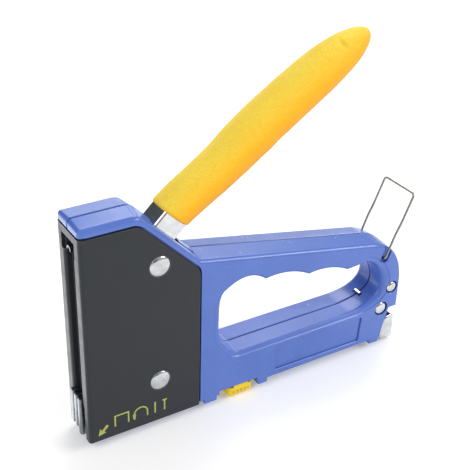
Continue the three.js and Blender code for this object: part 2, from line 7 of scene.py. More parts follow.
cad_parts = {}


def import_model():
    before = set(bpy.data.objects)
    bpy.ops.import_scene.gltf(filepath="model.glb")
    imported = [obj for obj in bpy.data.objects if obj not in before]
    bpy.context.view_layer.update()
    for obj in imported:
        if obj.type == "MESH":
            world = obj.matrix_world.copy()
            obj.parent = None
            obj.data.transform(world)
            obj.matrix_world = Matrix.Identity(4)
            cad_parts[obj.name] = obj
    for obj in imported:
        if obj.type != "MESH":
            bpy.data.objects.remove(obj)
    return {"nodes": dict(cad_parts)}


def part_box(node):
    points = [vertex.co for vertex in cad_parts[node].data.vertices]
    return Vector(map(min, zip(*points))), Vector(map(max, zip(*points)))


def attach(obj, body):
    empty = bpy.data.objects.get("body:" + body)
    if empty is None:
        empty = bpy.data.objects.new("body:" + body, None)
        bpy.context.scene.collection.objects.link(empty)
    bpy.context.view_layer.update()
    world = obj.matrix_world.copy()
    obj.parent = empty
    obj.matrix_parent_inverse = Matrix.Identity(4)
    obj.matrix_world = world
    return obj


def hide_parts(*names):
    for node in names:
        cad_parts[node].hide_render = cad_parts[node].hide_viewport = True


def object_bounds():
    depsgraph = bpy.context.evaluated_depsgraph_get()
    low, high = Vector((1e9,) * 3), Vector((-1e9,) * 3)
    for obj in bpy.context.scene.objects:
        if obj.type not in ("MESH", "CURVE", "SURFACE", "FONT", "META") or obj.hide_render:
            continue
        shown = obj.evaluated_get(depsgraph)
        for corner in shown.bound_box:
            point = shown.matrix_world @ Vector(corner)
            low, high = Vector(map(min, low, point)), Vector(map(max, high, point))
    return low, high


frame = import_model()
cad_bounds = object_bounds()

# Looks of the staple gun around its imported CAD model. Shapes are drawn in millimetres, with x
# counted from the nose's front face as in the CAD source; place() turns them into row metres.

MM = 0.001
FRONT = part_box("nose_cover")[0].x      # the nose's front face in the row frame, metres

# ---------------- driving dimensions

HALF_WIDTH = 11.5         # half the width of the body
HALF_SEAM = 0.33          # half the gap between the two shells
SEAM_BEVEL = 0.35         # bevel of the shells along that gap
CROWN = 1.35              # how far the top falls from the seam to the rounded edge
EDGE_START = 9.4          # distance from the middle plane where the edge rounding starts

CAP_TOP = 112.8           # top of the plastic cap over the head
HEAD_SLOPE = 141.2        # x + z along the head's sloping face
HANDLE_RISE = 94.9        # the handle's top is at z = HANDLE_RISE - HANDLE_FALL * x
HANDLE_FALL = 0.2
FOLD_X = 57.8             # where the slope meets the handle's top
FOOT_BOTTOM = -1.3        # the small feet along the body's underside
FOOT_TOP = 5
FEET = ((60.5, 67.5), (91.5, 97), (162, 168))   # where each foot starts and ends, in x

COVER_TOP = 107.4
COVER_SLOPE = 134.6       # x + z along the steel cover's sloping edge
COVER_REAR = 57.5
COVER_SHEET = 1.2         # thickness of the steel
COVER_BEND = 1.8          # outer radius of its two front bends
COVER_GAP = 1.0           # shadow gap over the cover; half of it behind the cover
WEB_HALF = 4.6            # pressed recess in the cover's front: half width, foot, top and depth
WEB_LOW = 19.6
WEB_HIGH = 96
WEB_DEPTH = 3.5
WEB_SHOULDER = 1.6        # rounding of the recess along its sides

GUIDE_BACK = 4.9          # rear face of the nose guide's plate
GUIDE_HALF = 6.7
GUIDE_TOP = 92
TONGUE = (1.4, 97)        # middle of the guide's curled tongue, y and z
RIBS = ((3, 6.8, 3), (-0.9, 2.6, 3), (-4.8, -1.3, 0.9))  # y from and to, and the foot's z
RIB_FRONT = -1.4
RIB_TOP = 21.4

PIVOT = (37, 85)          # x and z of the rivets, and the radii of their heads
FRONT_RIVET = (36.5, 23.1)
UPPER_RIVET = (173.3, 31.8)
LOWER_RIVET = (167.7, 20)
BIG_HEAD = 5.1
UPPER_HEAD = 3.1
LOWER_HEAD = 3.5
HEAD_CLEARANCE = 0.5      # between a rear rivet's head and its counterbore

SHANK_ANGLE = math.radians(44)
SHANK_LOW = -1.1          # the shank's lower and upper edge, across its line
SHANK_HIGH = 12.6
LEVER_HALF = 6.4          # half the width over the lever's cheeks
LEVER_SHEET = 1.2
ARM_LENGTH = 17           # from the pivot to the lift pin
ARM_ANGLE = math.radians(19)
LIFT_PIN = (PIVOT[0] - ARM_LENGTH * math.cos(ARM_ANGLE), PIVOT[1] - ARM_LENGTH * math.sin(ARM_ANGLE))

GRIP_START = (48.8, 103.9)
GRIP_END = (149.8, 171.1)
# Painted light and shade: the foam is painted pale yellow on the side that faces this direction and deeper
# orange on the side opposite.
GRIP_PAINTED_LIGHT_SIDE = (-0.55, 0, 0.83)   # the direction that its lighter side faces
GRIP_BOW = 2.1            # how far the grip's axis bows up in its middle
GRIP_RADIUS = 9.7
GRIP_SWELL = 0.95         # how much thicker the grip is in its middle
GRIP_LENGTH = 123         # length that shares of the grip are counted on
TAPER_START = 0.62        # share of the grip where its tip starts to narrow
MOUTH_LEAN = 4.8 / GRIP_LENGTH   # the mouth reaches this much further down on top, as a share of the grip
MOUTH_RISE = 1.4 / GRIP_LENGTH   # and it starts this much further up underneath
MOUTH_ROLL = 1.3          # radius of the mouth's rolled edge
POCKET_GAP = 0.2          # between the foam and the steel inside it

BAIL_PIVOT = (166, 51)
BAIL_TOP = (180.5, 85)
BAIL_HALF = 11.4          # half the width between the bail's arms
BAIL_WIRE = 0.6           # radius of its wire
BAIL_CORNER = 1.9

LATCH_HALF = 9.2
LATCH_SHEET = 1.0

RELEASE_X = (74, 89)
RELEASE_Z = (-3.1, 2)
RELEASE_HALF = 10.8
RELEASE_RIBS = 6
RELEASE_PITCH = 2.15      # from one gap between its ribs to the next
RELEASE_END = 3.4         # plain length at its front end, and its corner radius from below

SIGN_LINE = 0.75          # line width of the printed signs

OUTSIDE = -14             # y well outside the left shell, where the shell's cutters start
PAST_MIDDLE = 2           # y just past the middle plane, where they end


# ---------------- outlines


def rounded(corners, insets=0.0):
    """Closed anticlockwise outline through corners (a, b, radius); insets move its sides inward."""
    count = len(corners)
    if isinstance(insets, (int, float)):
        insets = [insets] * count
    sharp = [Vector(c[:2]) for c in corners]
    along = [(sharp[(i + 1) % count] - sharp[i]).normalized() for i in range(count)]
    turns = [math.atan2(along[i - 1].cross(along[i]), along[i - 1].dot(along[i])) for i in range(count)]
    moved = []
    for i in range(count):
        before, after = insets[i - 1], insets[i]
        shift = (along[i] * before - along[i - 1] * after) / math.sin(turns[i])
        moved.append(sharp[i] + shift)
    points = []
    for i in range(count):
        wanted = corners[i][2]
        if wanted == 0:
            points.append(tuple(moved[i]))
            continue
        side = math.copysign(1, turns[i])
        half_tan = math.tan(abs(turns[i]) / 2)
        radius = max(0.03, wanted - side * (insets[i - 1] + insets[i]) / 2)
        room = min((moved[i] - moved[i - 1]).length, (moved[(i + 1) % count] - moved[i]).length)
        reach = min(radius * half_tan, 0.48 * room)
        radius = reach / half_tan
        normal = Vector((-along[i - 1].y, along[i - 1].x)) * side
        start = moved[i] - along[i - 1] * reach
        centre = start + normal * radius
        steps = max(2, math.ceil(abs(turns[i]) / math.radians(12)))
        for step in range(steps + 1):
            spoke = start - centre
            spoke.rotate(Matrix.Rotation(turns[i] * step / steps, 2))
            points.append(tuple(centre + spoke))
    return points


def circle(centre, radius, steps=48):
    angles = [2 * math.pi * i / steps for i in range(steps)]
    return [(centre[0] + radius * math.cos(a), centre[1] + radius * math.sin(a)) for a in angles]


def on_shank(along, across):
    """A point along the lever shank's line from the pivot, and across it."""
    return (
        PIVOT[0] + along * math.cos(SHANK_ANGLE) - across * math.sin(SHANK_ANGLE),
        PIVOT[1] + along * math.sin(SHANK_ANGLE) + across * math.cos(SHANK_ANGLE),
    )


def on_grip(share, across):
    """A point on the grip's bowed axis, 0 at its start and 1 at its tip, moved across it."""
    run = GRIP_END[0] - GRIP_START[0]
    climb = GRIP_END[1] - GRIP_START[1]
    length = math.hypot(run, climb)
    off = across + GRIP_BOW * (1 - (2 * share - 1) ** 2)
    return (
        GRIP_START[0] + share * run - off * climb / length,
        GRIP_START[1] + share * climb + off * run / length,
    )


# ---------------- meshes


def place(point):
    """Row metres of a point in the drawing's millimetres."""
    return Vector((FRONT + point[0] * MM, point[1] * MM, point[2] * MM))


def add(name, data):
    """Adds an object to the scene."""
    made = bpy.data.objects.new(name, data)
    bpy.context.scene.collection.objects.link(made)
    return made


def mesh_object(name, points, faces):
    mesh = bpy.data.meshes.new(name)
    mesh.from_pydata([place(p) for p in points], [], faces)
    tidy = bmesh.new()
    tidy.from_mesh(mesh)
    bmesh.ops.remove_doubles(tidy, verts=tidy.verts, dist=1e-7)
    bmesh.ops.recalc_face_normals(tidy, faces=tidy.faces)
    tidy.to_mesh(mesh)
    tidy.free()
    return add(name, mesh)


def loft(name, rings, closed=False):
    """Skin through rings of equally many points; its ends are capped unless it closes on itself."""
    count = len(rings[0])
    points = [p for ring in rings for p in ring]
    faces = []
    spans = len(rings) if closed else len(rings) - 1
    for row in range(spans):
        here = row * count
        there = ((row + 1) % len(rings)) * count
        for i in range(count):
            j = (i + 1) % count
            faces.append((here + i, here + j, there + j, there + i))
    if not closed:
        faces.append(tuple(range(count)))
        faces.append(tuple((len(rings) - 1) * count + i for i in range(count)))
    return mesh_object(name, points, faces)


def across_y(outline, y):
    return [(a, y, b) for a, b in outline]


def prism_y(name, outline, y0, y1):
    """An outline drawn in x and z, as thick as y0 to y1."""
    return loft(name, [across_y(outline, y0), across_y(outline, y1)])


def slab_y(name, corners, half, bevel, shares=None, steps=4):
    """A rounded outline in x and z, 2 * half thick, with rounded edges."""
    shares = shares or [1] * len(corners)
    rings = []
    for side in (-1, 1):
        turns = [math.pi / 2 * i / steps for i in range(steps + 1)]
        arc = [(half - bevel * (1 - math.sin(a)), bevel * (1 - math.cos(a))) for a in turns]
        part = [
            across_y(rounded(corners, [inset * share for share in shares]), side * y)
            for y, inset in arc
        ]
        rings += part[::-1] if side < 0 else part
    return loft(name, rings)


def prism_x(name, outline, x0, x1):
    """An outline drawn in y and z, from x0 to x1."""
    return loft(name, [[(x, a, b) for a, b in outline] for x in (x0, x1)])


def prism_z(name, outline, z0, z1):
    return loft(name, [[(a, b, z) for a, b in outline] for z in (z0, z1)])


def rectangle(a0, a1, b0, b1, radius=0.0):
    return rounded([(a0, b0, radius), (a1, b0, radius), (a1, b1, radius), (a0, b1, radius)])


def block(name, x0, x1, y0, y1, z0, z1):
    return prism_y(name, rectangle(x0, x1, z0, z1), y0, y1)


def turned(name, centre, profile, sides=64):
    """A profile of (radius, y) turned about an axis along Y through centre."""
    rings = [across_y(circle(centre, max(radius, 0.001), sides), y) for radius, y in profile]
    return loft(name, rings)


def bar(name, centre, radius, y0, y1):
    return turned(name, centre, [(radius, y0), (radius, y1)], 48)


def tube(name, path, radius, sides=14):
    """Round wire along a list of points."""
    path = [Vector(p) for p in path]
    rings = []
    side = None
    for i, point in enumerate(path):
        ahead = (path[min(i + 1, len(path) - 1)] - path[max(i - 1, 0)]).normalized()
        if side is None:
            side = ahead.orthogonal().normalized()
        side = (side - ahead * side.dot(ahead)).normalized()
        up = ahead.cross(side)
        angles = [2 * math.pi * k / sides for k in range(sides)]
        rings.append([point + radius * (math.cos(a) * side + math.sin(a) * up) for a in angles])
    return loft(name, rings)


def bake(target):
    """Applies the object's modifiers to its mesh."""
    bpy.context.view_layer.update()
    seen = target.evaluated_get(bpy.context.evaluated_depsgraph_get())
    result = bpy.data.meshes.new_from_object(seen)
    target.modifiers.clear()
    target.data = result


def combine(target, tools, operation="DIFFERENCE"):
    """Cuts the tools from the target, or joins them to it."""
    for tool in tools:
        step = target.modifiers.new(tool.name, "BOOLEAN")
        step.operation = operation
        step.solver = "MANIFOLD"
        step.object = tool
    bake(target)
    for tool in tools:
        bpy.data.objects.remove(tool)


def smooth(target, angle=32):
    """Smooth shading that keeps every edge sharper than the angle."""
    target.data.shade_smooth()
    target.data.set_sharp_from_angle(angle=math.radians(angle))
    normals = target.modifiers.new("normals", "WEIGHTED_NORMAL")
    normals.keep_sharp = True
    normals.weight = 80


def soften(target, width):
    """Rounds every edge that is sharper than 35 degrees."""
    weld = target.modifiers.new("weld", "WELD")
    weld.merge_threshold = 2e-6
    bevel = target.modifiers.new("bevel", "BEVEL")
    bevel.width = width * MM
    bevel.segments = 2
    bevel.limit_method = "ANGLE"
    bevel.angle_limit = math.radians(35)
    bevel.harden_normals = False


# ---------------- materials


def srgb(text):
    """Linear colour of a six-digit screen colour."""
    parts = [int(text[i:i + 2], 16) / 255 for i in (0, 2, 4)]
    linear = [c / 12.92 if c <= 0.04045 else ((c + 0.055) / 1.055) ** 2.4 for c in parts]
    return (*linear, 1.0)


class Surface:
    """A Principled material with its texture nodes."""

    def __init__(self, name, **sockets):
        self.material = bpy.data.materials.new(name)
        self.material.use_nodes = True
        self.tree = self.material.node_tree
        self.shader = self.tree.nodes["Principled BSDF"]
        self.fill(self.shader, sockets)
        self.texture = self.node("TexCoord")
        self.place = self.texture.outputs["Object"]
        self.height = None

    def fill(self, node, sockets):
        for socket, value in sockets.items():
            node.inputs[socket.replace("_", " ")].default_value = value

    def node(self, kind, **sockets):
        made = self.tree.nodes.new("ShaderNode" + kind)
        self.fill(made, sockets)
        return made

    def link(self, output, target):
        self.tree.links.new(output, target)

    def stretched(self, scale):
        mapping = self.node("Mapping", Scale=scale)
        self.link(self.place, mapping.inputs["Vector"])
        return mapping.outputs["Vector"]

    def noise(self, size, detail=3.0, rough=0.55, scale=None):
        """Noise whose features are about size millimetres, stretched by scale."""
        node = self.node("TexNoise", Scale=1 / (size * MM), Detail=detail, Roughness=rough)
        self.link(self.stretched(scale) if scale else self.place, node.inputs["Vector"])
        return node.outputs["Fac"]

    def cells(self, size):
        """Distance to the middle of cells of about size millimetres."""
        node = self.node("TexVoronoi", Scale=1 / (size * MM))
        self.link(self.place, node.inputs["Vector"])
        return node.outputs["Distance"]

    def ramp(self, value, stops):
        """Colours at places from 0 to 1 along the value."""
        node = self.node("ValToRGB")
        ramp = node.color_ramp
        while len(ramp.elements) < len(stops):
            ramp.elements.new(0.5)
        for element, (position, colour) in zip(ramp.elements, stops):
            element.position = position
            element.color = colour
        self.link(value, node.inputs["Fac"])
        return node.outputs["Color"]

    def range(self, value, low, high, start=0.3, end=0.7):
        """Low where the value is at start, high where it is at end."""
        node = self.node("MapRange", From_Min=start, From_Max=end, To_Min=low, To_Max=high)
        self.link(value, node.inputs["Value"])
        return node.outputs["Result"]

    def feed(self, socket, source):
        """Links an output to a socket, or sets the socket to a fixed value."""
        if isinstance(source, tuple):
            socket.default_value = source
        else:
            self.link(source, socket)

    def mixed(self, factor, first, second):
        """First colour where the factor is 0, second where it is 1."""
        node = self.node("Mix")
        node.data_type = "RGBA"
        self.link(factor, node.inputs["Factor"])
        colours = [socket for socket in node.inputs if socket.type == "RGBA"]
        self.feed(colours[0], first)
        self.feed(colours[1], second)
        return node.outputs[2]

    def facing(self, first, second):
        """1 where two directions agree, and -1 where they are opposite."""
        node = self.node("VectorMath")
        node.operation = "DOT_PRODUCT"
        self.feed(node.inputs[0], first)
        self.feed(node.inputs[1], second)
        return node.outputs["Value"]

    def set(self, socket, output):
        self.link(output, self.shader.inputs[socket])

    def bump(self, value, depth, strength=1.0):
        """Adds a bump of about depth millimetres on what is there already."""
        node = self.node("Bump", Distance=depth * MM, Strength=strength)
        self.link(value, node.inputs["Height"])
        if self.height is not None:
            self.link(self.height, node.inputs["Normal"])
        self.height = node.outputs["Normal"]
        self.set("Normal", self.height)

    def edges(self, width):
        """1 along edges, over about width millimetres, and 0 on flat places."""
        round_normal = self.node("Bevel", Radius=width * MM).outputs["Normal"]
        true_normal = self.node("NewGeometry").outputs["True Normal"]
        return self.range(self.facing(round_normal, true_normal), 1.0, 0.0, 0.8, 0.97)

    def crevices(self, width):
        """0 deep in gaps and corners narrower than about width millimetres, and 1 in the open."""
        node = self.node("AmbientOcclusion", Distance=width * MM)
        node.samples = 8
        return self.range(node.outputs["AO"], 0.0, 1.0, 0.25, 0.8)


def moulded_plastic(name, deep, light, gap):
    """Satin injection-moulded plastic: fine grain, flow clouds, rub marks, and painted shade that darkens
    its gaps and corners.
    """
    made = Surface(name, Roughness=0.4, IOR=1.5)
    clouds = made.noise(22, 2)
    body = made.ramp(clouds, [(0.3, srgb(deep)), (0.7, srgb(light))])
    # Painted shade: ambient occlusion turns the colour to the last colour given wherever gaps and corners
    # are narrow.
    made.set("Base Color", made.mixed(made.crevices(1.2), srgb(gap), body))
    rub = made.noise(5, 4, 0.6, (1, 1, 2.2))
    made.set("Roughness", made.range(rub, 0.2, 0.28))
    made.bump(made.noise(0.5, 1), 0.0015)
    made.bump(made.noise(9, 1), 0.01)
    return made.material


def painted_steel():
    """Satin black paint on sheet: orange peel, dust-fine speckle, thinner paint on the edges."""
    made = Surface("satin_black_paint", Roughness=0.36, IOR=1.5, Specular_IOR_Level=0.25)
    speckle = made.noise(0.5, 3, 0.7)
    body = made.ramp(speckle, [(0.35, srgb("2A2D32")), (0.7, srgb("313539"))])
    worn = made.edges(0.35)
    made.set("Base Color", made.mixed(worn, body, srgb("8A8F96")))
    made.set("Roughness", made.range(made.noise(9, 4, 0.6), 0.3, 0.44))
    made.bump(made.noise(1.1, 2), 0.014)
    made.bump(made.noise(0.25, 1), 0.004)
    return made.material


def plated_steel(name, dark, light, rough, grain=(1, 1, 1), grain_size=0.5):
    """Plated or drawn steel: directional grain, cloudy plating, fine pits."""
    made = Surface(name, Metallic=1.0, Roughness=rough)
    clouds = made.noise(4, 4, 0.6)
    made.set("Base Color", made.ramp(clouds, [(0.3, srgb(dark)), (0.7, srgb(light))]))
    lines = made.noise(grain_size, 3, 0.6, grain)
    made.set("Roughness", made.range(lines, rough * 0.75, rough * 1.35))
    made.bump(lines, 0.006)
    made.bump(made.cells(1.8), 0.004)
    return made.material


def sponge_foam():
    """Closed-cell foam: pores and crumbs, with painted light that makes its upper side pale yellow and
    painted shade that makes its underside deeper orange.
    """
    made = Surface(
        "closed_cell_foam", Roughness=0.85, IOR=1.4, Sheen_Weight=0.15,
        Subsurface_Weight=0.12, Subsurface_Radius=(1.0, 0.5, 0.1), Subsurface_Scale=1.2 * MM,
    )
    pores = made.cells(0.75)
    crumbs = made.noise(0.6, 3, 0.65)
    patches = made.noise(14, 3)
    # Painted light and shade: pale yellow where the surface faces the grip's upper side, deep orange where
    # it faces away.
    upper_side = made.facing(made.texture.outputs["Normal"], GRIP_PAINTED_LIGHT_SIDE)
    facing_up = made.range(upper_side, 0.0, 1.0, -0.8, 0.9)
    painted_light_and_shade = made.ramp(facing_up, [(0, srgb("E68A05")), (0.5, srgb("FAB90D")), (1, srgb("FFE552"))])
    body = made.mixed(made.range(patches, 0.0, 0.25), painted_light_and_shade, srgb("FBBC12"))
    depth = made.range(crumbs, 0.0, 0.4, 0.42, 0.66)
    made.set("Base Color", made.mixed(depth, body, srgb("EFA50C")))
    made.set("Roughness", made.range(crumbs, 0.75, 0.95))
    made.bump(pores, 0.12, 0.6)
    made.bump(crumbs, 0.14, 0.7)
    return made.material


def matt_rubber():
    """Black rubber with a little dust."""
    made = Surface("matt_rubber", Roughness=0.8)
    dust = made.noise(1.4, 4)
    made.set("Base Color", made.ramp(dust, [(0.3, srgb("1A1A1B")), (0.75, srgb("2E2D2C"))]))
    made.bump(made.noise(0.4, 2), 0.03)
    return made.material


def printed_ink():
    """Olive ink, thinner in patches."""
    made = Surface("olive_ink", Roughness=0.5)
    patches = made.noise(1.2, 4, 0.7)
    made.set("Base Color", made.ramp(patches, [(0.3, srgb("8E9636")), (0.7, srgb("C3C76A"))]))
    made.bump(made.noise(0.3, 1), 0.01)
    return made.material


# The last colour of each moulded plastic is painted shade for its narrow gaps and corners.
MATERIALS = {
    "blue_plastic": moulded_plastic("blue_plastic", "4E6EBE", "5675C7", "1B2C80"),
    "black_steel": painted_steel(),
    "guide_steel": plated_steel("guide_steel", "6F7378", "8B8F95", 0.3, (1, 1, 0.06)),
    "rivet_chrome": plated_steel("rivet_chrome", "B4B6B8", "D4D6D7", 0.16),
    "lever_chrome": plated_steel("lever_chrome", "C6C8CA", "DEDFE0", 0.16, (0.2, 1, 0.2)),
    "yellow_foam": sponge_foam(),
    "spring_steel": plated_steel("spring_steel", "8A8782", "ABA8A1", 0.26),
    "bumper_rubber": matt_rubber(),
    "magazine_steel": plated_steel("magazine_steel", "A9ACAF", "C6C8CB", 0.34, (0.05, 1, 1)),
    "yellow_plastic": moulded_plastic("yellow_plastic", "F2CC14", "F8D824", "B98A08"),
}


def paint(piece, material):
    piece.data.materials.clear()
    piece.data.materials.append(material)
    piece.data.polygons.foreach_set("material_index", [0] * len(piece.data.polygons))


def dress(piece, slot):
    """Gives a new piece the material kept under that slot name."""
    paint(piece, MATERIALS[slot])


def finish_piece(piece, slot, body, *nodes):
    """Dresses a new piece, ties it to its body and hides the CAD nodes that it stands for."""
    dress(piece, slot)
    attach(piece, body)
    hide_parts(*nodes)


# ---------------- body shells

RIM_DEPTH = 0.45          # fine step round the lip of the finger opening
RIM_BEVEL = 0.5
RIM_SHARE = 0.07          # width of the step's flat, as a share of the lip's width

# The body's outline: x, z, corner radius, then how much of the crown and of the edge rounding the
# side that starts at that corner takes.
BODY = [
    (3, 0.8, 0.5, 0.1, 0.4),
    (168.7, 0.8, 0.6, 0.1, 0.3),
    (173.2, 18.3, 0.3, 0.1, 0.5),
    (178.4, 18.3, 0.5, 0.1, 0.4),
    (178.4, 37.5, 20, 0.1, 0.4),
    (176.6, 47, 20, 0.2, 0.5),
    (172.5, 55, 20, 0.5, 0.7),
    (165.5, 60.2, 20, 0.8, 0.9),
    (158.5, HANDLE_RISE - HANDLE_FALL * 158.5, 20, 1.1, 1),
    (FOLD_X, HANDLE_RISE - HANDLE_FALL * FOLD_X, 1.2, 0.85, 1),
    (HEAD_SLOPE - CAP_TOP, CAP_TOP, 7, 0.5, 1),
    (0, CAP_TOP, 2, 0.1, 0.9),
    (0, 108.4, 0.2, 0, 0.1),
    (3, 108.4, 0, 0, 0),
]

# The finger opening, clockwise: control point of the curve (or none), its end, and the width and
# depth of the rounded lip there.
OPENING_START = ((68, 40), 2.6, 1)
OPENING = [
    (None, (68.1, 52), 2.4, 0.8),
    ((68.2, 60), (71.8, 61.8), 0.7, 0.5),
    ((83.5, 69.7), (93.3, 61.2), 0.5, 0.5),
    ((107, 63.3), (118.6, 56.3), 0.5, 0.5),
    ((131, 58.2), (142.6, 51.7), 0.5, 0.5),
    ((149, 51.4), (154.7, 51.6), 3.2, 2.4),
    ((163.5, 49.5), (166.6, 38.6), 3.8, 3.8),
    ((168.5, 30.5), (161.3, 27.2), 3.4, 3),
    ((156, 24), (146, 23.6), 2, 1.2),
    (None, (80, 23.6), 1.9, 1),
    ((69, 26), (68, 40), 2.6, 1),
]


def opening_line():
    """Points (place, lip width, lip depth) round the finger opening."""
    line = []
    start, width, depth = OPENING_START
    for control, end, next_width, next_depth in OPENING:
        steps = 10 if control else 4
        for i in range(steps):
            t = i / steps
            bend = control or [(start[k] + end[k]) / 2 for k in (0, 1)]
            spot = Vector([
                (1 - t) ** 2 * start[k] + 2 * t * (1 - t) * bend[k] + t * t * end[k] for k in (0, 1)
            ])
            line.append((spot, width + t * (next_width - width), depth + t * (next_depth - depth)))
        start, width, depth = end, next_width, next_depth
    return line


def opening_cutter():
    """Cuts the left half of the finger opening, with its rounded lip and a bevel at the seam."""
    line = opening_line()
    outward = []
    for i in range(len(line)):
        along = (line[(i + 1) % len(line)][0] - line[i - 1][0]).normalized()
        outward.append(Vector((-along.y, along.x)))

    def ring(grow, level):
        points = []
        for (spot, width, depth), out in zip(line, outward):
            moved = spot + out * grow(width)
            points.append((moved.x, level(depth), moved.y))
        return points

    def rim(width):
        return width * (1 + RIM_SHARE)

    rings = [
        ring(lambda width: SEAM_BEVEL, lambda depth: 1.0),
        ring(lambda width: SEAM_BEVEL, lambda depth: -HALF_SEAM),
        ring(lambda width: 0.0, lambda depth: -HALF_SEAM - SEAM_BEVEL),
    ]
    for step in range(9):
        turn = math.pi / 2 * (1 - step / 8)
        rings.append(ring(
            lambda width: width * (1 - math.sin(turn)),
            lambda depth: -HALF_WIDTH + RIM_DEPTH + depth * (1 - math.cos(turn)),
        ))
    rings.append(ring(rim, lambda depth: -HALF_WIDTH + RIM_DEPTH))
    rings.append(ring(lambda width: rim(width) + RIM_BEVEL, lambda depth: -HALF_WIDTH))
    rings.append(ring(lambda width: rim(width) + RIM_BEVEL, lambda depth: -HALF_WIDTH - 3))
    return loft("opening", rings)


def half_body():
    """The left shell's outer form: a top that falls to rounded edges, and a bevel along the seam."""
    levels = [(HALF_SEAM, 0, 0, SEAM_BEVEL), (HALF_SEAM + SEAM_BEVEL, 0, 0, 0)]
    for share in (0.5, 1):
        levels.append((EDGE_START * share, CROWN * share, 0, 0))
    fall = math.atan2(CROWN, EDGE_START)
    radius = (HALF_WIDTH - EDGE_START) / (1 - math.sin(fall))
    steps = 10
    for step in range(1, steps + 1):
        turn = fall + (math.pi / 2 - fall) * step / steps
        inset = radius * (math.cos(fall) - math.cos(turn))
        levels.append((HALF_WIDTH - radius * (1 - math.sin(turn)), CROWN, inset, 0))
    corners = [c[:3] for c in BODY]
    rings = []
    for y, crown, rounding, bevel in levels:
        insets = [crown * c[3] + rounding * c[4] + bevel * (c[4] > 0) for c in BODY]
        rings.append(across_y(rounded(corners, insets), -y))
    return loft("body_shell_left_skin", rings)


def cover_corners(margin):
    """Side outline of the steel cover, or with a margin, of the seat for it in the shells."""
    top = COVER_TOP + margin
    rear = COVER_REAR + margin / 2
    slope = COVER_SLOPE + margin * math.sqrt(2)
    return [
        (-6 * margin, -8 * margin, 0),
        (rear, -8 * margin, 0.8 if margin == 0 else 0),
        (rear, slope - rear, 6.5),
        (slope - top, top, 7.5),
        (-6 * margin, top, 0),
    ]


def panel_cutter():
    """Shallow panel in the side of the body, under the finger opening."""
    panel = [(101.6, 4.9, 1), (153.9, 4.1, 1), (155, 18.5, 1), (100.8, 19.2, 1)]
    levels = [
        (OUTSIDE, -0.25), (-HALF_WIDTH, -0.25), (-HALF_WIDTH + 0.25, 0), (-HALF_WIDTH + 0.9, 0.05),
    ]
    return loft("panel", [across_y(rounded(panel, inset), y) for y, inset in levels])


def bail_groove():
    """Groove beside the bail's arm, which leaves room for its swing."""
    foot_drop, reach = 1.9, 26
    base = Vector(BAIL_PIVOT)
    rise = (Vector(BAIL_TOP) - base).normalized()
    side = Vector((rise.y, -rise.x))
    groove = [
        (*(base - rise * foot_drop + side * 2.3), 1.6), (*(base + rise * reach + side * 2.3), 0),
        (*(base + rise * reach - side * 3.4), 0), (*(base - rise * foot_drop - side * 3), 1.6),
    ]
    return prism_y("bail_groove", rounded(groove), OUTSIDE, -9.9)


def shell_cutters():
    """Everything that is cut from the left shell."""
    chamber = [
        (-2, 18, 0), (6.8, 18, 0), (6.8, 40, 0), (19.4, 40, 0), (19.4, 22, 0), (54.4, 22, 1),
        (54.4, 81, 1), (30.6, 104.8, 1), (-2, 104.8, 0),
    ]
    front_low, front_high = on_shank(-3, SHANK_HIGH + 0.4), on_shank(28, SHANK_HIGH + 0.4)
    slot = [(*front_low, 0), (34.5, 80, 0.4), (50, 80, 0.4), (50, 116, 0), (*front_high, 0)]
    slit = [(49.5, 83.2, 0.2), (56.6, 83.2, 0.2), (56.6, 116, 0.2), (49.5, 116, 0.2)]
    made = [
        opening_cutter(),
        prism_y("chamber", rounded(chamber), -7.6, PAST_MIDDLE),
        prism_y("slot", rounded(slot), -7, PAST_MIDDLE),
        prism_y("slit", rounded(slit), -7, -4.7),
        prism_x("tunnel", rectangle(-7, PAST_MIDDLE, -5, 18), -2, 185),
        prism_y("notch", rectangle(68.6, 90.8, -5, 3.8, 0.5), OUTSIDE, PAST_MIDDLE),
        block("catch_slot", 158.8, 160.8, -3, PAST_MIDDLE, 16, 30),
        block("catch_pocket", 149, 163, -3, PAST_MIDDLE, 16, 19.6),
        prism_y("cover_recess", rounded(cover_corners(COVER_GAP)), OUTSIDE, -9.6),
    ]
    for centre, radius in ((PIVOT, 2.8), (FRONT_RIVET, 2.8), (UPPER_RIVET, 2.2), (LOWER_RIVET, 2.2)):
        made.append(bar("rivet_hole", centre, radius, OUTSIDE, PAST_MIDDLE))
    made += [bar("bail_hole", BAIL_PIVOT, 1, OUTSIDE, -8), panel_cutter()]
    for centre, head in ((UPPER_RIVET, UPPER_HEAD), (LOWER_RIVET, LOWER_HEAD)):
        hole = head + HEAD_CLEARANCE
        made.append(turned("counterbore", centre, [
            (hole + 0.25, OUTSIDE), (hole + 0.25, -HALF_WIDTH),
            (hole, -HALF_WIDTH + 0.25), (hole, -HALF_WIDTH + 1.4),
        ]))
    made.append(bail_groove())
    return made


def foot(x0, x1):
    """The left half of one small foot."""
    corners = [(x0, FOOT_BOTTOM, 0.6), (x1, FOOT_BOTTOM, 0.6), (x1, FOOT_TOP, 0.3), (x0, FOOT_TOP, 0.3)]
    made = slab_y("foot", corners, HALF_WIDTH - 0.15, 0.6, [1, 0.6, 0, 0.6])
    combine(made, [block("right_half", 50, 180, -HALF_SEAM, 20, -10, 20)])
    return made


def body_shells():
    """The left shell, and the right one as its mirror image."""
    left = half_body()
    combine(left, [foot(x0, x1) for x0, x1 in FEET], "UNION")
    combine(left, shell_cutters())
    right = add("body_shell_right_skin", left.data.copy())
    right.data.transform(Matrix.Scale(-1, 4, (0, 1, 0)))
    right.data.flip_normals()
    for shell, node in ((left, "body_shell_left"), (right, "body_shell_right")):
        smooth(shell)
        finish_piece(shell, "blue_plastic", "body", node)


# ---------------- nose


def mirrored(levels):
    """The left side's (y, value) levels again for the right side."""
    return [(-y, value) for y, value in levels[::-1]]


